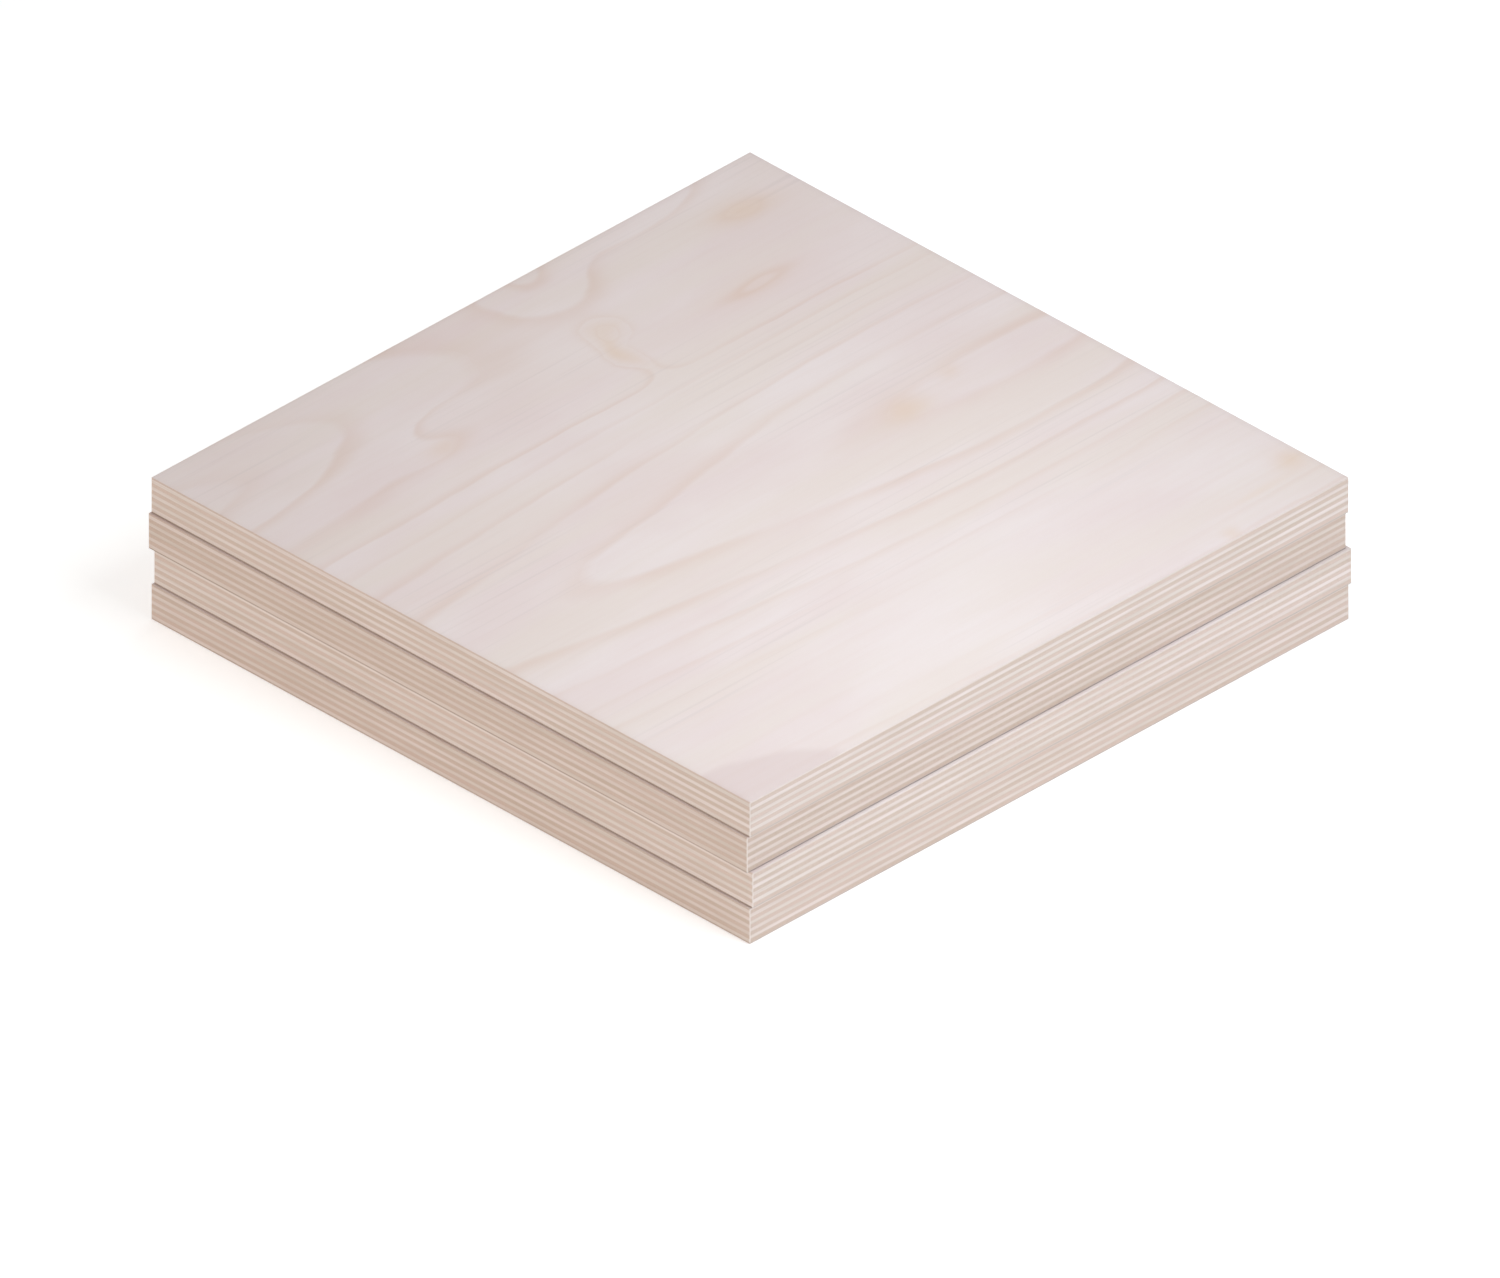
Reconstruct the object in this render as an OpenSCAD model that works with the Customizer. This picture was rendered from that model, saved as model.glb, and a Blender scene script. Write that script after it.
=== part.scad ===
// Stack of square plywood sheets.
//
// A sheet is glued up from an odd number of thin veneers. The grain turns a quarter from one
// veneer to the next: the face veneer, the long plies and the back veneer run along X, and the
// crossbands between them run along Y. The sheets lie flat on each other with their edges in
// line, as near as they are laid by hand.
//
// Millimetres. X is along the face grain, Y is across it, Z is up, and the origin is at the
// middle of the stack's lowest face.

/* [Stack] */
// Number of sheets in the stack
sheet_count = 4; // [1:1:5]
// How far a sheet in the middle lies off the line of the others, along X
slip_along = 0.8; // [0:0.1:5]
// How far a sheet in the middle lies off the line of the others, along Y
slip_across = 0.6; // [0:0.1:5]

/* [Sheet] */
// Length of a sheet, along the grain of its face
sheet_length = 300; // [100:10:1500]
// Width of a sheet, across the grain of its face
sheet_width = 300; // [100:10:1500]

/* [Veneers] */
// Number of veneers in a sheet, an odd number
veneer_count = 11; // [3:2:11]
// Thickness of the face veneer and of the back veneer, after sanding
outer_veneer = 0.75; // [0.3:0.05:2]
// Thickness of each veneer between those two
inner_veneer = 1.5; // [0.8:0.1:4]

/* [Edges] */
// Radius that fine sanding leaves on a sheet's sawn edges
arris_radius = 0.5; // [0.1:0.05:1]
// Least part of an outer veneer's edge that the arris leaves straight
least_land = 0.1; // [0.05:0.05:0.2]

/* [Hidden] */
crossband_count = (veneer_count - 1) / 2;
long_ply_count = crossband_count - 1;
sheet_thickness = 2 * outer_veneer + (veneer_count - 2) * inner_veneer;
// The arris stays inside the outer veneer that it is worked on.
arris = min(arris_radius, outer_veneer - least_land);
// Which way each sheet slips, counted from the floor up. The lowest is in place, and so is the fourth.
slip_side = [0, 1, -1, 0, 1];
arc_sides = 48;
face_wood = "#e2d7d4";
side_grain_wood = "#e0d4ce";
end_grain_wood = "#cbb29f";

// Node names. Sheets are counted from the floor up, and the veneers in a sheet from its face down.
function face_name(sheet) = str("sheet_", sheet, "_face_veneer");
function crossband_name(sheet, count) = str("sheet_", sheet, "_crossband_", count);
function long_ply_name(sheet, count) = str("sheet_", sheet, "_long_ply_", count);
function back_name(sheet) = str("sheet_", sheet, "_back_veneer");

// Lowest point of a sheet, and of the inner veneer that lies so many below its face.
function sheet_base(sheet) = (sheet - 1) * sheet_thickness;
function inner_base(sheet, below) =
    sheet_base(sheet) + sheet_thickness - outer_veneer - below * inner_veneer;

// Moves a veneer from the middle of the stack to its own height on its own sheet.
module in_sheet(sheet, base) {
    side = slip_side[sheet - 1];
    translate([side * slip_along, -side * slip_across, base]) children();
}

// Plan of a sheet, with its four upright edges eased.
module sheet_outline() {
    square([sheet_length, sheet_width - 2 * arris], center = true);
    square([sheet_length - 2 * arris, sheet_width], center = true);
    for (x = [-1, 1], y = [-1, 1])
        translate([x * (sheet_length / 2 - arris), y * (sheet_width / 2 - arris)])
            circle(r = arris, $fn = arc_sides);
}

// Section of an outer veneer across one pair of edges, with the two upper corners eased.
module eased_section(run) {
    translate([-run / 2, 0]) square([run, outer_veneer - arris]);
    translate([arris - run / 2, 0]) square([run - 2 * arris, outer_veneer]);
    for (side = [-1, 1])
        translate([side * (run / 2 - arris), outer_veneer - arris])
            circle(r = arris, $fn = arc_sides);
}

// An outer veneer lying on z = 0 with its show side up.
module outer_veneer_blank() {
    intersection() {
        linear_extrude(outer_veneer) sheet_outline();
        translate([0, sheet_width / 2, 0]) rotate([90, 0, 0])
            linear_extrude(sheet_width) eased_section(sheet_length);
        translate([-sheet_length / 2, 0, 0]) rotate([90, 0, 90])
            linear_extrude(sheet_length) eased_section(sheet_width);
    }
}

// An inner veneer lying on z = 0.
module inner_veneer_blank() {
    linear_extrude(inner_veneer) sheet_outline();
}

// The show side of a sheet, grain along X.
module face_veneer(sheet) {
    color(face_wood)
        in_sheet(sheet, sheet_base(sheet) + sheet_thickness - outer_veneer)
            outer_veneer_blank();
}

// Every second veneer, grain along Y. The first one lies right under the face.
module crossband(sheet, count) {
    color(end_grain_wood)
        in_sheet(sheet, inner_base(sheet, 2 * count - 1)) inner_veneer_blank();
}

// The veneers between two crossbands, grain along X.
module long_ply(sheet, count) {
    color(side_grain_wood)
        in_sheet(sheet, inner_base(sheet, 2 * count)) inner_veneer_blank();
}

// The underside of a sheet, grain along X.
module back_veneer(sheet) {
    color(face_wood)
        in_sheet(sheet, sheet_base(sheet) + outer_veneer)
            mirror([0, 0, 1]) outer_veneer_blank();
}

for (sheet = [1:sheet_count]) {
    face_veneer(sheet);
    for (count = [1:1:crossband_count])
        crossband(sheet, count);
    for (count = [1:1:long_ply_count])
        long_ply(sheet, count);
    back_veneer(sheet);
}
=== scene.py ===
"""The looks of a stack of birch plywood sheets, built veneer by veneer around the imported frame.

Lengths are metres. X runs along the grain of the face veneers, Y across it, and Z is up.
"""

import math

import bpy
from mathutils import Color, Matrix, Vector


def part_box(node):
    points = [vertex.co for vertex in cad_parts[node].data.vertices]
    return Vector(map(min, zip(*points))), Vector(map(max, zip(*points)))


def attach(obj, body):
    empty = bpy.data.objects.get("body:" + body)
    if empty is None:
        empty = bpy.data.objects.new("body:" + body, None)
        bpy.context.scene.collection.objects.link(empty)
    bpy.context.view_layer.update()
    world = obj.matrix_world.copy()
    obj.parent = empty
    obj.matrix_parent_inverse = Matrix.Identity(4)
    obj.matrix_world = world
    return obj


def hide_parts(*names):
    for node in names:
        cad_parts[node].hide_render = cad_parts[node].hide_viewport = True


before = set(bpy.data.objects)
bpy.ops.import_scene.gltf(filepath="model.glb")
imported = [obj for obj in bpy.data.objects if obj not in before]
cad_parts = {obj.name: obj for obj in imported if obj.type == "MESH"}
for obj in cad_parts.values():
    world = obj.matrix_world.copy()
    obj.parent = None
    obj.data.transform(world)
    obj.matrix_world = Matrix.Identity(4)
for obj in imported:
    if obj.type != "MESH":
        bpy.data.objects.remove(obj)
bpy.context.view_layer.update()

MM = 0.001

# How many sheets lie in the stack, and how many inner veneers of each kind are in a sheet.
SHEETS = 4
CROSSBANDS = 5
LONG_PLIES = 4

# The stack's own sizes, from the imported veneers.
face_low, face_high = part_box(f"sheet_{SHEETS}_face_veneer")
LENGTH = face_high.x - face_low.x
WIDTH = face_high.y - face_low.y
STACK_TOP = face_high.z

# How a sheet's sawn edge is finished: the round of its arris and corners, how far a glue line
# wanders and lies back, over what height it does so, and how deep the saw marks are.
ARRIS = 0.5 * MM
GLUE_WAVE = 0.13 * MM
GLUE_GROOVE = 0.03 * MM
GROOVE_REACH = 0.2 * MM
SAW_RELIEF = 0.02 * MM

# Waves in a metre of the glue lines' wander and of the saw marks.
GLUE_WAVES = 24.0
SAW_WAVES = 260.0


# ---------------------------------------------------------------- wiring of node trees

# Places of the colour sockets on a Mix node, whose names are the same for every kind of value.
MIX_SHARE, MIX_FIRST, MIX_SECOND = 0, 6, 7
MIXED_COLOUR = 2


class Term:
    """A number, vector or colour that comes out of a node. Arithmetic on it adds Math nodes."""

    def __init__(self, wiring, socket):
        self.wiring = wiring
        self.socket = socket

    def __add__(self, other):
        return self.wiring.math("ADD", self, other)

    def __sub__(self, other):
        return self.wiring.math("SUBTRACT", self, other)

    def __rsub__(self, other):
        return self.wiring.math("SUBTRACT", other, self)

    def __mul__(self, other):
        return self.wiring.math("MULTIPLY", self, other)

    def __truediv__(self, other):
        return self.wiring.math("DIVIDE", self, other)

    __radd__ = __add__


class Wiring:
    """Adds nodes to a tree and joins them up."""

    def __init__(self, tree):
        self.tree = tree

    def node(self, kind, feeds=None, **settings):
        made = self.tree.nodes.new(kind)
        for name, value in settings.items():
            setattr(made, name, value)
        for key, value in (feeds or {}).items():
            self.feed(made.inputs[key], value)
        return made

    def feed(self, socket, value):
        if isinstance(value, Term):
            self.tree.links.new(value.socket, socket)
        else:
            socket.default_value = value

    def out(self, node, key=0):
        return Term(self, node.outputs[key])

    def math(self, operation, *values):
        return self.out(self.node("ShaderNodeMath", dict(enumerate(values)), operation=operation))

    def vector_math(self, operation, *values):
        made = self.node("ShaderNodeVectorMath", dict(enumerate(values)), operation=operation)
        return self.out(made, "Value" if operation in ("DOT_PRODUCT", "LENGTH") else "Vector")

    def split(self, vector):
        made = self.node("ShaderNodeSeparateXYZ", {"Vector": vector})
        return [self.out(made, axis) for axis in "XYZ"]

    def join(self, x=0.0, y=0.0, z=0.0):
        return self.out(self.node("ShaderNodeCombineXYZ", {"X": x, "Y": y, "Z": z}))

    def ease(self, value, low, high):
        """Goes smoothly from 0 at low to 1 at high."""
        feeds = {"Value": value, "From Min": low, "From Max": high}
        return self.out(self.node("ShaderNodeMapRange", feeds, interpolation_type="SMOOTHSTEP"))

    def noise(self, place, waves, seed, detail=2.0, roughness=0.5):
        """Soft noise around 0.5, with that many waves in one unit of the place."""
        feeds = {"Vector": place, "W": seed, "Scale": waves, "Detail": detail, "Roughness": roughness}
        return self.out(self.node("ShaderNodeTexNoise", feeds, noise_dimensions="4D"), 0)

    def stretched_noise(self, place, waves, seed, detail, roughness):
        """Noise that has its own number of waves along each axis."""
        stretched = self.vector_math("MULTIPLY", place, waves)
        return self.noise(stretched, 1.0, seed, detail, roughness)

    def blend(self, share, first, second, way="MIX"):
        """Mixes two colours."""
        feeds = {MIX_SHARE: share, MIX_FIRST: first, MIX_SECOND: second}
        return self.out(self.node("ShaderNodeMix", feeds, data_type="RGBA", blend_type=way), MIXED_COLOUR)

    def attribute(self, name):
        """A value that each point of the mesh carries."""
        return self.out(self.node("ShaderNodeAttribute", attribute_name=name), "Fac")

    def group(self, tree, **feeds):
        """Places a shader node group. Its outputs come back by name."""
        made = self.node("ShaderNodeGroup", node_tree=tree)
        for name, value in feeds.items():
            self.feed(made.inputs[name.capitalize()], value)
        return {output.name: Term(self, output) for output in made.outputs}


# The socket for each kind of default. A material has None.
SOCKETS = {
    float: "NodeSocketFloat",
    int: "NodeSocketInt",
    tuple: "NodeSocketVector",
    type(None): "NodeSocketMaterial",
}


def new_group(name, inputs, outputs, kind="ShaderNodeTree"):
    """A node group, with a default for each input and the kind of each output."""
    tree = bpy.data.node_groups.new(name, kind)
    for label, default in inputs.items():
        socket = tree.interface.new_socket(label, in_out="INPUT", socket_type=SOCKETS[type(default)])
        socket.default_value = default
    for label, output_kind in outputs.items():
        tree.interface.new_socket(label, in_out="OUTPUT", socket_type=f"NodeSocket{output_kind}")
    wiring = Wiring(tree)
    entry = tree.nodes.new("NodeGroupInput")
    given = {output.name: Term(wiring, output) for output in entry.outputs if output.name}
    leave = tree.nodes.new("NodeGroupOutput")
    return wiring, given, leave.inputs


def paint(colour):
    """Linear RGBA of a colour written as #rrggbb."""
    shares = [int(colour[start:start + 2], 16) / 255 for start in (1, 3, 5)]
    return (*Color(shares).from_srgb_to_scene_linear(), 1.0)


# ---------------------------------------------------------------- figure of the faces

# The growth rings that the peeling knife cut through, as a landscape over the sheet. Each swell
# of the log lifts it: (place along the grain, place across it, length, width, height). Places
# and sizes are shares of the sheet, and a ring line shows at each whole height.
CREST_SWELLS = (
    (0.80, 0.530, 0.62, 0.400, 1.90),
    (1.04, 0.523, 0.30, 0.050, 0.50),
    (0.85, 0.230, 0.55, 0.100, -1.35),
    (0.27, 0.525, 0.14, 0.055, 0.34),
    (0.95, 0.640, 0.25, 0.060, 0.25),
    (0.585, 0.225, 0.028, 0.040, 1.3),
)
PLATEAU_SWELLS = (
    (-0.08, 0.080, 0.400, 0.115, 2.85),
    (0.355, 0.155, 0.075, 0.022, -0.65),
    (0.270, 0.200, 0.050, 0.018, 0.35),
    (0.615, -0.01, 0.066, 0.086, 1.5),
    (0.790, -0.01, 0.120, 0.045, 1.3),
    (0.602, 0.160, 0.024, 0.026, 1.9),
    (0.585, 0.215, 0.020, 0.036, 1.1),
    (0.810, 0.210, 0.080, 0.018, 0.62),
    (0.910, 0.085, 0.040, 0.018, 0.70),
)

# The ridge under the tall middle rings: where it lies across the sheet, how many rings it falls
# in a sheet's width, and how wide its blunt top is.
CREST = 0.525
CREST_FALL = 27.0
CREST_BLUNT = 0.196

# The flat ground of the wavy rings beside it: its height, where it starts to fall, how fast, and
# how softly it runs into the ridge.
PLATEAU = -3.5
PLATEAU_EDGE = 0.3
PLATEAU_FALL = 18.0
RUN_TOGETHER = 0.4

# Honey-coloured spots where small knots lie under the face: (along, across, length, width, depth).
KNOT_SPOTS = (
    (0.602, 0.150, 0.026, 0.024, 0.55),
    (0.586, 0.200, 0.014, 0.036, 0.9),
    (0.290, 0.200, 0.030, 0.018, 0.6),
    (0.735, 0.525, 0.034, 0.026, 1.0),
    (0.830, 0.505, 0.018, 0.014, 0.5),
    (0.910, 0.085, 0.044, 0.022, 1.0),
    (0.800, 0.210, 0.070, 0.020, 0.45),
    (0.975, 0.922, 0.024, 0.020, 0.9),
    (0.900, 0.945, 0.060, 0.008, 0.45),
    (0.815, 0.990, 0.014, 0.014, 0.6),
)

# Where the ring lines fade into plain wood: (along, across, length, width, share).
CALM_WOOD = (
    (0.50, 0.325, 0.90, 0.036, 0.75),
    (0.80, 0.405, 0.28, 0.035, 0.70),
    (0.10, 0.060, 0.16, 0.060, 0.45),
    (0.50, 0.870, 1.20, 0.150, 1.00),
    (0.597, 0.175, 0.050, 0.070, 0.50),
)

# A darker stain that runs in from one corner of the face.
CORNER_STAIN = ((0.0, 1.03, 0.18, 0.125, 1.0),)

# The wood's fibre: its waves in a metre along the grain and across it, how much of a streak is
# broad and fine, and where a pore begins and is full.
BROAD_STREAKS = (18.0, 420.0, 420.0)
FINE_STREAKS = (60.0, 2600.0, 2600.0)
PORES = (520.0, 5200.0, 5200.0)
BROAD_SHARE = 0.6
FINE_SHARE = 0.4
PORE_RANGE = (0.62, 0.72)


def swell_group():
    """One swell: a round hill with its full height at its centre."""
    wiring, given, leave = new_group(
        "log swell",
        {"Place": (0.0, 0.0, 0.0), "Centre": (0.0, 0.0, 0.0), "Size": (1.0, 1.0, 1.0), "Height": 1.0},
        {"Level": "Float"})
    offset = wiring.vector_math("SUBTRACT", given["Place"], given["Centre"])
    away = wiring.vector_math("DIVIDE", offset, given["Size"])
    fall = wiring.vector_math("DOT_PRODUCT", away, away) * -1.0
    wiring.feed(leave["Level"], wiring.math("EXPONENT", fall) * given["Height"])
    return wiring.tree


def add_swells(wiring, swell, place, swells):
    """The levels of these swells at a place, added up."""
    total = 0.0
    for along, across, length, width, height in swells:
        centre = (along, across, 0.0)
        size = (length, width, 1.0)
        made = wiring.group(swell, place=place, centre=centre, size=size, height=height)
        total = made["Level"] + total
    return total


def ring_group(swell):
    """Height of the growth rings under a place, and how near a knot, calm wood or the stain it is."""
    outputs = {"Level": "Float", "Knot": "Float", "Calm": "Float", "Stain": "Float"}
    wiring, given, leave = new_group("growth rings", {"Place": (0.0, 0.0, 0.0)}, outputs)
    place = given["Place"]
    across = wiring.split(place)[1]
    off = across - CREST
    slope = wiring.math("SQRT", off * off + CREST_BLUNT ** 2) - CREST_BLUNT
    crest = add_swells(wiring, swell, place, CREST_SWELLS) - slope * CREST_FALL
    far = wiring.math("MAXIMUM", across - PLATEAU_EDGE, 0.0)
    plateau = add_swells(wiring, swell, place, PLATEAU_SWELLS) + PLATEAU - far * PLATEAU_FALL
    wiring.feed(leave["Level"], wiring.math("SMOOTH_MAX", crest, plateau, RUN_TOGETHER))
    for name, swells in (("Knot", KNOT_SPOTS), ("Calm", CALM_WOOD), ("Stain", CORNER_STAIN)):
        wiring.feed(leave[name], add_swells(wiring, swell, place, swells))
    return wiring.tree


def fibre_group():
    """Fine streaks and pores of birch. Place runs along the grain on X."""
    inputs = {"Place": (0.0, 0.0, 0.0), "Seed": 0.0}
    wiring, given, leave = new_group("birch fibre", inputs, {"Streak": "Float", "Pore": "Float"})
    place, seed = given["Place"], given["Seed"]
    broad = wiring.stretched_noise(place, BROAD_STREAKS, seed, detail=3.0, roughness=0.6)
    fine = wiring.stretched_noise(place, FINE_STREAKS, seed, detail=2.0, roughness=0.6)
    wiring.feed(leave["Streak"], broad * BROAD_SHARE + fine * FINE_SHARE)
    dash = wiring.stretched_noise(place, PORES, seed, detail=1.0, roughness=0.5)
    wiring.feed(leave["Pore"], wiring.ease(dash, *PORE_RANGE))
    return wiring.tree


# ---------------------------------------------------------------- materials

FACE_PALE = paint("#eadddb")
FACE_ROSY = paint("#e6d5d3")
FACE_SANDY = paint("#e6d8d1")
RING_LINE = paint("#dabcad")
FINE_LINE = paint("#d2c3bf")
KNOT_HONEY = paint("#deb98f")
FACE_STAIN = paint("#dac6c3")
LONG_GRAIN = paint("#e8ddd9")
LONG_GRAIN_DEEP = paint("#dccec8")
END_GRAIN = paint("#dccac0")
END_GRAIN_DEEP = paint("#cfbaae")
WARM_TINT = paint("#fffaf7")
GREY_TINT = paint("#f5f1ea")
GLUE_LINE = paint("#b8a292")
# Painted highlight for the upright corners of a sheet.
CORNER_PAINTED_HIGHLIGHT = paint("#efe5df")
# Painted shade: the dark line drawn in the seam under each sheet.
SEAM_PAINTED_SHADE = paint("#7a6858")
SHEET_SHADE = paint("#efe9e3")

# How far each sheet has darkened, from the floor up.
SHEET_TONES = (0.3, 0.0, 0.55, 0.0)

# From here on, a pair named RANGE is the value at which a mask begins and the one at which it is
# full, and a SHARE is how strongly something shows.

# How squarely a surface has to face along an axis to count as facing that way.
FACING_RANGE = (0.5, 0.8)

# Sawn edges: which streaks of the long grain show, and the specks of the end grain, with their
# waves in a metre.
LONG_STREAK_RANGE = (0.38, 0.68)
SPECK_WAVES = 2400.0
SPECK_RANGE = (0.35, 0.75)

# The slow drift of a veneer's tint, with its waves in a metre. The rest of the tint is the same all
# over the veneer, and its seed takes a step from each veneer to the next.
DRIFT_WAVES = 16.0
DRIFT_SHARE = 0.7
DRIFT_RANGE = (0.35, 0.65)
SEED_STEP = 5.3

# The glue at a veneer's borders, by distance from its middle as a share of its thickness.
GLUE_RANGE = (0.44, 0.5)
GLUE_SHARE = 0.45

# Roughness of long grain, and how much rougher end grain is.
EDGE_ROUGHNESS = 0.6
END_ROUGHER = 0.15

# Bump of the grain, and the painted highlight on the upright corners of a sheet.
BUMP_STRENGTH = 0.5
BUMP_DEPTH = 0.03 * MM
CORNER_HIGHLIGHT_RANGE = (0.15, 0.5)
CORNER_HIGHLIGHT_SHARE = 0.7

# Slow changes over a face: (waves along the sheet, waves across it, detail, seed).
FACE_PATCHES = {
    "wander": (5.0, 12.0, 3.0, 0.0),
    "ripple": (3.0, 40.0, 2.0, 10.0),
    "clear rings": (3.5, 8.0, 2.0, 20.0),
    "fine lines": (2.2, 150.0, 2.0, 30.0),
    "fine line areas": (1.5, 5.0, 1.0, 40.0),
    "rosy": (3.0, 6.0, 3.0, 50.0),
    "sandy": (2.0, 11.0, 2.0, 60.0),
}
PATCH_ROUGHNESS = 0.55
ROSY_RANGE = (0.35, 0.65)
SANDY_RANGE = (0.40, 0.65)
SANDY_SHARE = 0.8

# How far the rings wander along and across the grain, as shares of the sheet.
WANDER_ALONG = 0.05
WANDER_ACROSS = 0.02
RIPPLE_ACROSS = 0.006

# Ring lines: the part of a ring in which it darkens, the part in which its line ends, how clear the
# lines are at least, and how much clearer they get in some patches.
LATE_WOOD_RANGE = (0.62, 1.0)
RING_END_RANGE = (0.0, 0.10)
CLEAR_LEAST = 0.2
CLEAR_GAIN = 0.9
CLEAR_RANGE = (0.3, 0.65)

# Fine lines along the grain, and the areas that have them.
FINE_LINE_RANGE = (0.52, 0.68)
FINE_AREA_RANGE = (0.42, 0.60)

# The border of the corner stain, and how much it wanders.
STAIN_RANGE = (0.40, 0.52)
STAIN_WANDER = 0.3

# Which streaks of the fibre show on a face, and how strongly each part of its figure shows.
FACE_STREAK_RANGE = (0.4, 0.75)
RING_SLOPE_SHARE = 0.08
RING_LINE_SHARE = 0.38
FINE_LINE_SHARE = 0.30
KNOT_SHARE = 0.36
STAIN_SHARE = 0.62
STREAK_SHARE = 0.10
PORE_SHARE = 0.12

# How much smoother a sanded face is than a sawn edge, how much its fibre varies that, and how
# much the fibre stands out.
FACE_SMOOTHER = 0.22
FACE_VARIATION = 0.1
FACE_RELIEF = 0.5

# Painted shade on the lower arris of a sheet, which draws the seam under it as a dark line. It thins out
# between these shares of its back veneer's height.
SEAM_SHADE_RANGE = (0.40, 0.85)
SEAM_SHADE_SHARE = 0.9

# Which part of the log an outer veneer shows: its turn along and across the grain (1 or -1), and
# its shift that way as shares of the sheet.
PARTS_OF_LOG = {
    "sheet_4_face_veneer": ((1, 1), (0, 0)),
    "sheet_4_back_veneer": ((-1, 1), (0, 0.1)),
    "sheet_3_face_veneer": ((1, -1), (0.1, 0)),
    "sheet_3_back_veneer": ((-1, -1), (0, 0.05)),
    "sheet_2_face_veneer": ((1, 1), (0.05, 0.05)),
    "sheet_2_back_veneer": ((1, -1), (0, 0.1)),
    "sheet_1_face_veneer": ((-1, 1), (0.1, 0.05)),
    "sheet_1_back_veneer": ((1, 1), (0.1, 0.1)),
}


def new_material(name):
    """A material, the wiring of its nodes and its Principled shader."""
    material = bpy.data.materials.new(name)
    material.use_nodes = True
    tree = material.node_tree
    shader = next(node for node in tree.nodes if node.type == "BSDF_PRINCIPLED")
    return material, Wiring(tree), shader


def edge_group(fibre):
    """A veneer's sawn edge: long grain where it runs along the edge, and end grain where it ends."""
    wiring, given, leave = new_group(
        "sawn edge",
        {"Place": (0.0, 0.0, 0.0), "End": 0.0, "Across": 0.5, "Seed": 0.0},
        {"Color": "Color", "Roughness": "Float", "Height": "Float"})
    place, seed, end = given["Place"], given["Seed"], given["End"]
    streaks = wiring.group(fibre, place=place, seed=seed)
    streaky = wiring.ease(streaks["Streak"], *LONG_STREAK_RANGE)
    long_grain = wiring.blend(streaky, LONG_GRAIN, LONG_GRAIN_DEEP)
    speck = wiring.noise(place, SPECK_WAVES, seed, roughness=0.7)
    end_grain = wiring.blend(wiring.ease(speck, *SPECK_RANGE), END_GRAIN, END_GRAIN_DEEP)
    wood = wiring.blend(end, long_grain, end_grain)

    # Each veneer has a tint of its own, which drifts a little along it.
    own = wiring.noise((0.0, 0.0, 0.0), 1.0, seed * SEED_STEP, detail=0.0)
    drift = wiring.noise(place, DRIFT_WAVES, seed, detail=3.0)
    mixed = drift * DRIFT_SHARE + own * (1.0 - DRIFT_SHARE)
    tint = wiring.blend(wiring.ease(mixed, *DRIFT_RANGE), WARM_TINT, GREY_TINT)
    wood = wiring.blend(1.0, wood, tint, "MULTIPLY")

    # Glue darkens its upper and lower border. Across is 0 at the veneer's bottom and 1 at its top.
    from_middle = wiring.math("ABSOLUTE", given["Across"] - 0.5)
    glue = wiring.ease(from_middle, *GLUE_RANGE) * GLUE_SHARE
    wiring.feed(leave["Color"], wiring.blend(glue, wood, GLUE_LINE))
    wiring.feed(leave["Roughness"], end * END_ROUGHER + EDGE_ROUGHNESS)
    wiring.feed(leave["Height"], streaks["Streak"] * (1.0 - end) + speck * end)
    return wiring.tree


def veneer_inputs(wiring, axis):
    """Place with the grain on X, whether the grain ends here or the veneer lies flat, and its numbers."""
    shape = wiring.node("ShaderNodeTexCoord")
    place = wiring.split(wiring.out(shape, "Object"))
    facing = wiring.split(wiring.out(shape, "Normal"))
    along, beside = (0, 1) if axis == "X" else (1, 0)
    grain_place = wiring.join(place[along], place[beside], place[2])
    end = wiring.ease(wiring.math("ABSOLUTE", facing[along]), *FACING_RANGE)
    flat = wiring.ease(wiring.math("ABSOLUTE", facing[2]), *FACING_RANGE)
    return grain_place, end, flat, wiring.attribute("across"), wiring.attribute("veneer")


def feed_shader(wiring, shader, color, roughness, height):
    """Feeds a veneer's shader. Some sheets are darker all over, and upright corners get a pale painted
    highlight.
    """
    bump = wiring.node("ShaderNodeBump",
                       {"Height": height, "Strength": BUMP_STRENGTH, "Distance": BUMP_DEPTH})
    color = wiring.blend(wiring.attribute("tone"), color, SHEET_SHADE, "MULTIPLY")
    facing = wiring.out(wiring.node("ShaderNodeTexCoord"), "Normal")
    x, y, _ = wiring.split(wiring.vector_math("ABSOLUTE", facing))
    # Painted highlight: upright corners are lightened as if they caught the light.
    corner_highlight = wiring.ease(wiring.math("MINIMUM", x, y), *CORNER_HIGHLIGHT_RANGE) * CORNER_HIGHLIGHT_SHARE
    wiring.feed(shader.inputs["Base Color"], wiring.blend(corner_highlight, color, CORNER_PAINTED_HIGHLIGHT))
    wiring.feed(shader.inputs["Roughness"], roughness)
    wiring.feed(shader.inputs["Normal"], wiring.out(bump, "Normal"))


def inner_veneer(name, axis, edge_look):
    """A crossband or long ply, of which only the sawn edges show."""
    material, wiring, shader = new_material(name)
    place, end, _, across, seed = veneer_inputs(wiring, axis)
    look = wiring.group(edge_look, place=place, end=end, across=across, seed=seed)
    feed_shader(wiring, shader, look["Color"], look["Roughness"], look["Height"])
    return material


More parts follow.
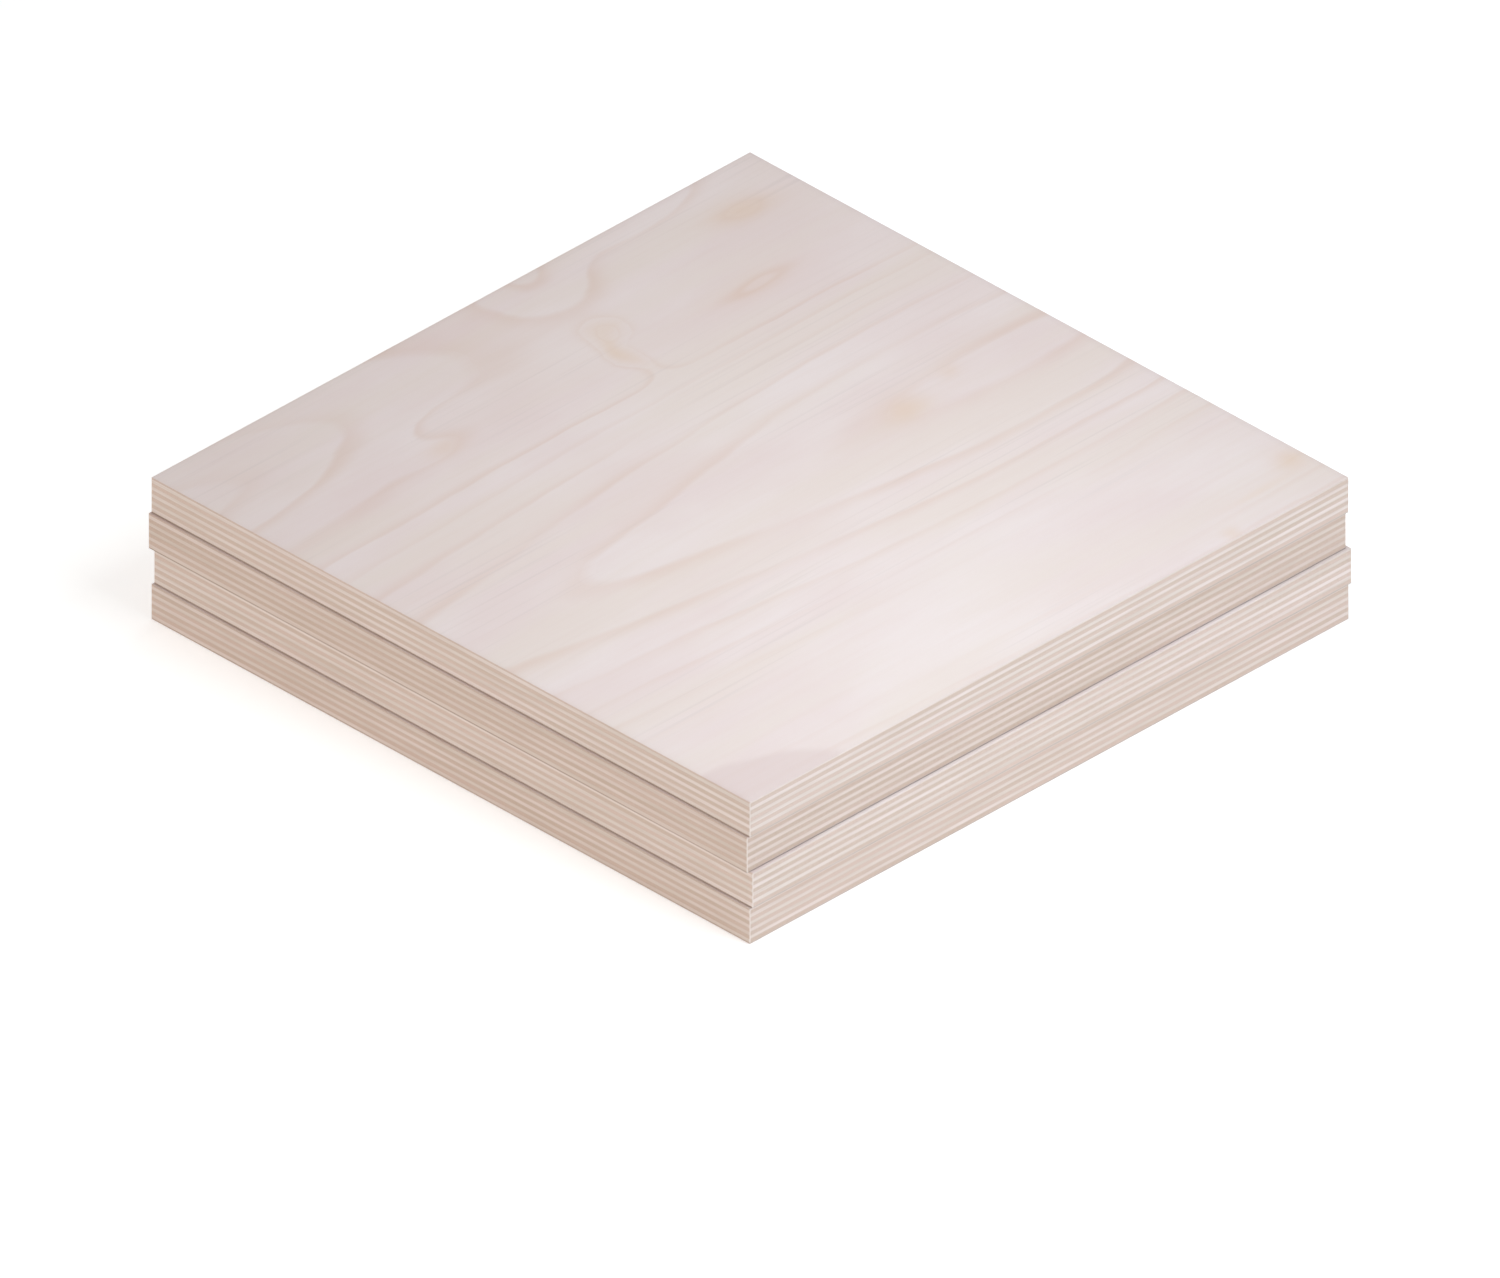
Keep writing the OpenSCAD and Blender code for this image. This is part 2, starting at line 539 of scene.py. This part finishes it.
def face_veneer(name, edge_look, rings, fibre, turn, shift, seam_shade):
    """A sanded outer veneer with the figure of peeled birch, from its own part of the log."""
    material, wiring, shader = new_material(name)
    place, end, flat, across, seed = veneer_inputs(wiring, "X")
    x, y, _ = wiring.split(place)
    along = x * (turn[0] / LENGTH) + (0.5 + shift[0])
    over = y * (-turn[1] / WIDTH) + (0.5 + shift[1])
    sheet_place = wiring.join(along, over)

    def patches(kind):
        waves_along, waves_across, detail, number = FACE_PATCHES[kind]
        waves = (waves_along, waves_across, 1.0)
        return wiring.stretched_noise(sheet_place, waves, seed + number, detail, PATCH_ROUGHNESS)

    wander = patches("wander") - 0.5
    ripple = patches("ripple") - 0.5
    bent_along = along + wander * WANDER_ALONG
    bent_over = over + wander * WANDER_ACROSS + ripple * RIPPLE_ACROSS
    made = wiring.group(rings, place=wiring.join(bent_along, bent_over))

    # Each growth ring darkens slowly and ends at once.
    ring = wiring.math("FRACT", made["Level"])
    late = wiring.ease(ring, *LATE_WOOD_RANGE)
    line = wiring.math("MAXIMUM", late * late, 1.0 - wiring.ease(ring, *RING_END_RANGE))
    calm = wiring.math("MINIMUM", made["Calm"], 1.0)
    clear = CLEAR_LEAST + wiring.ease(patches("clear rings"), *CLEAR_RANGE) * CLEAR_GAIN
    clear = clear * (1.0 - calm)
    fine = wiring.ease(patches("fine lines"), *FINE_LINE_RANGE)
    fine_here = wiring.ease(patches("fine line areas"), *FINE_AREA_RANGE)
    knot = wiring.math("MINIMUM", made["Knot"], 1.0)
    stain = wiring.ease(made["Stain"] + wander * STAIN_WANDER, *STAIN_RANGE)
    streaks = wiring.group(fibre, place=place, seed=seed)
    streaky = wiring.ease(streaks["Streak"], *FACE_STREAK_RANGE)

    wood = wiring.blend(wiring.ease(patches("rosy"), *ROSY_RANGE), FACE_PALE, FACE_ROSY)
    sandy = wiring.ease(patches("sandy"), *SANDY_RANGE)
    layers = (
        (sandy * SANDY_SHARE, FACE_SANDY),
        (ring * (1.0 - calm) * RING_SLOPE_SHARE, RING_LINE),
        (line * clear * RING_LINE_SHARE, RING_LINE),
        (fine * fine_here * FINE_LINE_SHARE, FINE_LINE),
        (knot * KNOT_SHARE, KNOT_HONEY),
        (stain * STAIN_SHARE, FACE_STAIN),
        (streaky * STREAK_SHARE, RING_LINE),
        (streaks["Pore"] * PORE_SHARE, RING_LINE),
    )
    for share, colour in layers:
        wood = wiring.blend(share, wood, colour)

    look = wiring.group(edge_look, place=place, end=end, across=across, seed=seed)
    # Painted shade in the seam: the lower arris of a back veneer is darkened where the sheet meets the
    # one below.
    seam_shade_mask = (1.0 - wiring.ease(across, *SEAM_SHADE_RANGE)) * (1.0 - flat) * seam_shade
    edge = wiring.blend(seam_shade_mask, look["Color"], SEAM_PAINTED_SHADE)
    color = wiring.blend(flat, edge, wood)
    rough = look["Roughness"] + flat * (streaks["Streak"] * FACE_VARIATION - FACE_SMOOTHER)
    height = streaks["Streak"] * FACE_RELIEF - streaks["Pore"] * FACE_RELIEF
    feed_shader(wiring, shader, color, rough, height)
    return material


def make_finishes():
    """The material of each kind of inner veneer, and of each outer veneer by itself."""
    rings = ring_group(swell_group())
    fibre = fibre_group()
    edge_look = edge_group(fibre)
    finishes = {
        "crossband": inner_veneer("birch_crossband", "Y", edge_look),
        "long_ply": inner_veneer("birch_long_ply", "X", edge_look),
    }
    for node, (turn, shift) in PARTS_OF_LOG.items():
        name = "birch_" + node.removesuffix("_veneer")
        # Only a back veneer gets the painted seam shade on its lower arris.
        seam_shade = SEAM_SHADE_SHARE if "back" in node else 0.0
        finishes[node] = face_veneer(name, edge_look, rings, fibre, turn, shift, seam_shade)
    return finishes


# ---------------------------------------------------------------- veneers, as one Geometry Nodes tree

# Rows of points on a veneer's sawn edge, with more where an arris is rounded, the points on a
# corner of its outline, and the cuts along a side.
EDGE_ROWS = 5
ARRIS_ROWS = 10
CORNER_POINTS = 4
SIDE_CUTS = 120

# Rows in from the edge, both below and above: one at the veneer's middle, and one at this margin.
INNER_ROWS = 2.0
MARGIN = 3.0 * MM

# A smaller radius is no arris, and points nearer together than this are one point.
NO_ARRIS = 0.001 * MM
SAME_POINT = 0.002 * MM

# Faces that meet at less than this angle shade as one surface.
SMOOTH_UNDER = math.radians(40)

# Each sheet's glue lines have their own run of seeds, and a glue line's two veneers share its seed.
SEEDS_IN_SHEET = 100.0

INNER_THICKNESS = 1.5 * MM

# The inputs of the veneer tree. Their defaults make an inner veneer of a sheet that lies on the floor.
VENEER_INPUTS = {
    "Length": LENGTH,
    "Width": WIDTH,
    "Corner": ARRIS,
    "Centre": (0.0, 0.0, 0.0),
    "Bottom": 0.0,
    "Top": INNER_THICKNESS,
    "Bottom Arris": 0.0,
    "Top Arris": 0.0,
    "Bottom Wave": GLUE_WAVE,
    "Top Wave": GLUE_WAVE,
    "Bottom Seed": 0.0,
    "Top Seed": 0.0,
    "Relief": SAW_RELIEF,
    "Groove": GLUE_GROOVE,
    "Margin": MARGIN,
    "Edge Rows": EDGE_ROWS,
    "Side Cuts": SIDE_CUTS,
    "Veneer": 0.0,
    "Tone": 0.0,
    "Finish": None,
}


def stored(wiring, geometry, name, value, kind="FLOAT"):
    """Keeps a value on the geometry's points under a name."""
    feeds = {"Geometry": geometry, "Name": name, "Value": value}
    node = wiring.node("GeometryNodeStoreNamedAttribute", feeds, data_type=kind, domain="POINT")
    return wiring.out(node)


def recalled(wiring, name, kind="FLOAT"):
    """Reads a value that the points carry."""
    return wiring.out(wiring.node("GeometryNodeInputNamedAttribute", {"Name": name}, data_type=kind))


def veneer_outline(wiring, given):
    """A rectangle with eased corners, its straight runs cut into short steps."""
    rectangle = wiring.node("GeometryNodeCurvePrimitiveQuadrilateral",
                            {"Width": given["Length"], "Height": given["Width"]})
    corners = {"Curve": wiring.out(rectangle), "Count": CORNER_POINTS, "Radius": given["Corner"]}
    rounded = wiring.out(wiring.node("GeometryNodeFilletCurve", corners, mode="POLY"))
    following = wiring.out(wiring.node("GeometryNodeOffsetPointInCurve", {"Offset": 1}), "Point Index")
    position = wiring.out(wiring.node("GeometryNodeInputPosition"))
    next_point = wiring.node("GeometryNodeFieldAtIndex", {"Index": following, "Value": position},
                             data_type="FLOAT_VECTOR", domain="POINT")
    run = wiring.vector_math("LENGTH", wiring.vector_math("SUBTRACT", wiring.out(next_point), position))
    straight = wiring.math("GREATER_THAN", run, given["Corner"])
    stepped = wiring.node("GeometryNodeSubdivideCurve",
                          {"Curve": rounded, "Cuts": straight * given["Side Cuts"]})
    return stored(wiring, wiring.out(stepped), "outline", position, "FLOAT_VECTOR")


def edge_section(wiring, rows):
    """An upright line with one point for each row of the mesh, numbered from below."""
    line = wiring.node("GeometryNodeCurvePrimitiveLine", {"End": (0.0, 0.0, 1.0)})
    section = wiring.node("GeometryNodeResampleCurve", {"Curve": wiring.out(line), "Count": rows})
    index = wiring.out(wiring.node("GeometryNodeInputIndex"))
    return stored(wiring, wiring.out(section), "row", index)


def glue_heights(wiring, given, edge_place, at_edge):
    """Bottom and top of the veneer. Both veneers on a wandering glue line follow the same wave."""
    heights = []
    for side in ("Bottom", "Top"):
        from_middle = wiring.noise(edge_place, GLUE_WAVES, given[side + " Seed"]) - 0.5
        wave = from_middle * 2.0
        heights.append(given[side] + wave * given[side + " Wave"] * at_edge)
    return heights


def edge_inset(wiring, given, place, below, above):
    """How far the sawn edge lies in from the outline: its arrises, glue grooves and saw marks."""
    inset = 0.0
    for side, depth in (("Bottom", below), ("Top", above)):
        radius = given[side + " Arris"]
        short = wiring.math("MAXIMUM", radius - depth, 0.0)
        arc = wiring.math("SQRT", wiring.math("MAXIMUM", radius * radius - short * short, 0.0))
        glued = wiring.math("LESS_THAN", radius, NO_ARRIS)
        groove = (1.0 - wiring.ease(depth, 0.0, GROOVE_REACH)) * given["Groove"] * glued
        inset = radius - arc + groove + inset
    saw = wiring.noise(place, SAW_WAVES, given["Veneer"], roughness=0.6)
    return inset + saw * given["Relief"]


def veneer_tree():
    """One veneer: rows of points round its outline, which go in to its middle below and above."""
    wiring, given, leave = new_group("veneer", VENEER_INPUTS, {"Veneer": "Geometry"}, "GeometryNodeTree")
    rows = given["Edge Rows"] + 2.0 * INNER_ROWS
    feeds = {"Curve": veneer_outline(wiring, given), "Profile Curve": edge_section(wiring, rows)}
    band = wiring.out(wiring.node("GeometryNodeCurveToMesh", feeds))

    # Where each point stands. Its rank is a whole number that counts from the middle out, so halves
    # tell ranks apart. Its share goes from 0 at the bottom of the edge to 1 at the top.
    row = recalled(wiring, "row")
    x, y, _ = wiring.split(recalled(wiring, "outline", "FLOAT_VECTOR"))
    last = rows - 1.0
    rank = wiring.math("MINIMUM", row, last - row)
    climb = (row - INNER_ROWS) / (last - 2.0 * INNER_ROWS)
    share = wiring.out(wiring.node("ShaderNodeClamp", {"Value": climb}))
    at_edge = wiring.math("GREATER_THAN", rank, INNER_ROWS - 0.5)
    at_middle = wiring.math("LESS_THAN", rank, 0.5)
    at_margin = 1.0 - at_edge - at_middle

    # Its height, and how far in it lies.
    low, high = glue_heights(wiring, given, wiring.join(x, y), at_edge)
    z = low + (high - low) * share
    inset = edge_inset(wiring, given, wiring.join(x, y, z), z - low, high - z) * at_edge
    half_short = wiring.math("MINIMUM", given["Length"], given["Width"]) * 0.5
    inset = inset + at_margin * given["Margin"] + at_middle * half_short
    placed = []
    for value, size in ((x, given["Length"]), (y, given["Width"])):
        reach = size * 0.5 - inset
        placed.append(wiring.math("MAXIMUM", wiring.math("MINIMUM", value, reach), reach * -1.0))
    place = wiring.vector_math("ADD", wiring.join(*placed, z), given["Centre"])

    body = wiring.out(wiring.node("GeometryNodeSetPosition", {"Geometry": band, "Position": place}))
    for name, value in (("across", share), ("veneer", given["Veneer"]), ("tone", given["Tone"])):
        body = stored(wiring, body, name, value)
    merge = wiring.node("GeometryNodeMergeByDistance", {"Geometry": body, "Distance": SAME_POINT})
    body = wiring.out(wiring.node("GeometryNodeFlipFaces", {"Mesh": wiring.out(merge)}))
    for name in ("outline", "row"):
        body = wiring.out(wiring.node("GeometryNodeRemoveAttribute", {"Geometry": body, "Name": name}))
    body = wiring.out(wiring.node("GeometryNodeRealizeInstances", {"Geometry": body}))
    finished = wiring.node("GeometryNodeSetMaterial", {"Geometry": body, "Material": given["Finish"]})
    wiring.feed(leave["Veneer"], wiring.out(finished))
    return wiring.tree


def make_veneer(name, tree, sizes):
    """Runs the veneer tree with these sizes and keeps the result as a plain mesh."""
    piece = bpy.data.objects.new(name, bpy.data.meshes.new(name))
    bpy.context.scene.collection.objects.link(piece)
    modifier = piece.modifiers.new("veneer", "NODES")
    modifier.node_group = tree
    names = {item.name: item.identifier for item in tree.interface.items_tree if item.in_out == "INPUT"}
    for label, default in VENEER_INPUTS.items():
        modifier[names[label]] = sizes.get(label, default)
    depsgraph = bpy.context.evaluated_depsgraph_get()
    mesh = bpy.data.meshes.new_from_object(piece.evaluated_get(depsgraph))
    piece.modifiers.remove(modifier)
    piece.data = mesh
    mesh.name = name
    mesh.shade_smooth()
    mesh.set_sharp_from_angle(angle=SMOOTH_UNDER)
    return piece


def sheet_veneers(sheet):
    """The node and the material slot of each veneer in a sheet, from its face down."""
    veneers = [(f"sheet_{sheet}_face_veneer", "face_veneer")]
    for count in range(1, CROSSBANDS + 1):
        veneers.append((f"sheet_{sheet}_crossband_{count}", "crossband"))
        if count <= LONG_PLIES:
            veneers.append((f"sheet_{sheet}_long_ply_{count}", "long_ply"))
    veneers.append((f"sheet_{sheet}_back_veneer", "face_veneer"))
    return veneers


def make_sheet(sheet, tree, finishes):
    """Makes a sheet's veneers, each in the place of its node."""
    veneers = sheet_veneers(sheet)
    for depth, (node, slot) in enumerate(veneers):
        low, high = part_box(node)
        centre = (low + high) * 0.5
        seed_above = sheet * SEEDS_IN_SHEET + depth
        sizes = {
            "Centre": (centre.x, centre.y, 0.0),
            "Bottom": low.z,
            "Top": high.z,
            "Bottom Seed": seed_above + 1.0,
            "Top Seed": seed_above,
            "Veneer": float((sheet - 1) * len(veneers) + depth),
            "Tone": SHEET_TONES[sheet - 1],
            "Finish": finishes[node] if node in finishes else finishes[slot],
        }
        if depth == 0:
            sizes.update({"Top Wave": 0.0, "Top Arris": ARRIS, "Edge Rows": ARRIS_ROWS})
        if depth == len(veneers) - 1:
            sizes.update({"Bottom Wave": 0.0, "Bottom Arris": ARRIS, "Edge Rows": ARRIS_ROWS})
        piece = make_veneer(f"birch_{node}", tree, sizes)
        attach(piece, "root")
        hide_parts(node)


def make_stack():
    """Makes all the sheets, from the floor up."""
    finishes = make_finishes()
    tree = veneer_tree()
    for sheet in range(1, SHEETS + 1):
        make_sheet(sheet, tree, finishes)


# ---------------------------------------------------------------- room, lights and camera

WHITE = (1.0, 1.0, 1.0)

# Half the floor's side, how much light it throws back, and its own glow, which keeps it white.
FLOOR_HALF = 40.0
FLOOR_PALE = (0.95, 0.95, 0.95, 1.0)
FLOOR_GLOW = 0.38

# Light from all round the room.
ROOM_LIGHT = 0.51

# Each softbox: the place on top of the stack that it looks at, where it hangs as seen from there,
# in degrees and metres, its side in metres, its power in watts and its colour.
SOFTBOXES = {
    "key": {
        "turn": 0.0, "rise": 72.0, "distance": 0.45, "size": 0.30, "watts": 1.20,
        "colour": (0.88, 0.97, 1.0), "aim": (-0.04, -0.08),
    },
    "left_fill": {
        "turn": -95.0, "rise": 20.0, "distance": 1.6, "size": 0.6, "watts": 2.1,
        "colour": (1.0, 0.66, 0.34), "aim": (0.0, 0.0),
    },
    "right_fill": {
        "turn": 10.0, "rise": 20.0, "distance": 1.6, "size": 0.6, "watts": 4.3,
        "colour": (0.58, 0.77, 1.0), "aim": (0.0, 0.0),
    },
    "sheen": {
        "turn": 135.0, "rise": 33.0, "distance": 0.7, "size": 0.2, "watts": 0.27,
        "colour": WHITE, "aim": (-0.05, -0.13),
    },
}

# Where the camera stands, as seen from the place it looks at, in degrees and metres.
CAMERA_TURN = -45.0
CAMERA_RISE = 32.92
CAMERA_DISTANCE = 8.0

# The picture: its shape, how much of its width a sheet's diagonal takes, and how far the middle of
# the stack's top lies above the middle of the picture, as a share of its height.
PICTURE_WIDE, PICTURE_HIGH = 1500, 1278
DIAGONAL_SHARE = 0.7987
TOP_ABOVE_MIDDLE = 0.1268


def make_floor():
    """A pale floor that reaches far past the stack."""
    half = FLOOR_HALF
    corners = [(-half, -half, 0), (half, -half, 0), (half, half, 0), (-half, half, 0)]
    mesh = bpy.data.meshes.new("floor")
    mesh.from_pydata(corners, [], [(0, 1, 2, 3)])
    floor = bpy.data.objects.new("floor", mesh)
    bpy.context.scene.collection.objects.link(floor)
    material, _, shader = new_material("studio_floor")
    shader.inputs["Base Color"].default_value = FLOOR_PALE
    shader.inputs["Roughness"].default_value = 1.0
    shader.inputs["Specular IOR Level"].default_value = 0.0
    shader.inputs["Emission Color"].default_value = (*WHITE, 1.0)
    shader.inputs["Emission Strength"].default_value = FLOOR_GLOW
    mesh.materials.append(material)


def direction(turn, rise):
    """Unit vector from the stack towards a turn and rise in degrees. Turn 0 is the -Y side, 90 is +X."""
    turn, rise = math.radians(turn), math.radians(rise)
    return Vector((math.sin(turn) * math.cos(rise), -math.cos(turn) * math.cos(rise), math.sin(rise)))


def add_softbox(name, turn, rise, distance, size, watts, colour, aim):
    """A square light that looks at the place aim on top of the stack."""
    light = bpy.data.lights.new(name, "AREA")
    light.shape = "SQUARE"
    light.size = size
    light.energy = watts
    light.color = colour
    lamp = bpy.data.objects.new(name, light)
    bpy.context.scene.collection.objects.link(lamp)
    back = direction(turn, rise)
    lamp.location = Vector((*aim, STACK_TOP)) + back * distance
    lamp.rotation_euler = back.to_track_quat("Z", "Y").to_euler()


def add_room_light():
    """Soft white light from all round. Past the floor the room is plain white."""
    world = bpy.data.worlds.new("studio")
    world.use_nodes = True
    wiring = Wiring(world.node_tree)
    seen = wiring.out(wiring.node("ShaderNodeLightPath"), "Is Camera Ray")
    background = world.node_tree.nodes["Background"]
    background.inputs["Color"].default_value = (*WHITE, 1.0)
    wiring.feed(background.inputs["Strength"], wiring.math("MAXIMUM", seen, ROOM_LIGHT))
    bpy.context.scene.world = world


def add_camera():
    """Looks down on the corner between the -X and -Y edges, without perspective."""
    lens = bpy.data.cameras.new("camera")
    lens.type = "ORTHO"
    lens.ortho_scale = math.hypot(LENGTH, WIDTH) / DIAGONAL_SHARE
    camera = bpy.data.objects.new("camera", lens)
    bpy.context.scene.collection.objects.link(camera)
    back = direction(CAMERA_TURN, CAMERA_RISE)
    turn = back.to_track_quat("Z", "Y")
    up = turn @ Vector((0.0, 1.0, 0.0))
    lift = lens.ortho_scale * PICTURE_HIGH / PICTURE_WIDE * TOP_ABOVE_MIDDLE
    aim = Vector((0.0, 0.0, STACK_TOP)) - up * lift
    camera.location = aim + back * CAMERA_DISTANCE
    camera.rotation_euler = turn.to_euler()
    bpy.context.scene.camera = camera


# ---------------------------------------------------------------- everything together

bpy.context.scene.view_settings.view_transform = "Standard"
make_stack()
make_floor()
add_room_light()
for softbox, settings in SOFTBOXES.items():
    add_softbox(softbox, **settings)
add_camera()
